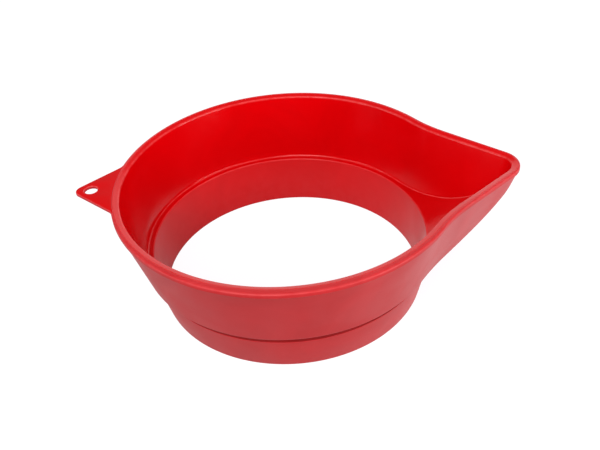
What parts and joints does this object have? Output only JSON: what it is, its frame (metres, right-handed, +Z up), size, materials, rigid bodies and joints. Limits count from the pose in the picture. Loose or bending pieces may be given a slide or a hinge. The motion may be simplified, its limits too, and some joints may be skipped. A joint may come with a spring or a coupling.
{
  "type": "canning funnel",
  "caption": "Shallow ring-shaped funnel with a flared bowl, a pouring spout, a hanging tab and a tapered collar that drops into a wide jar mouth.",
  "frame": {"origin": "on the funnel's axis, in the plane of the collar's lower edge", "axes": "+Z up along the funnel's axis, +X towards the tip of the spout, -X towards the hanging tab"},
  "size_m": [0.1354, 0.1058, 0.0375],
  "materials": {
    "red_plastic": "moulded polypropylene, polished inside and satin outside"
  },
  "bodies": {
    "root": {"jar_collar": "red_plastic", "flared_bowl": "red_plastic", "pouring_spout": "red_plastic", "hanging_tab": "red_plastic"}
  },
  "joints": []
}
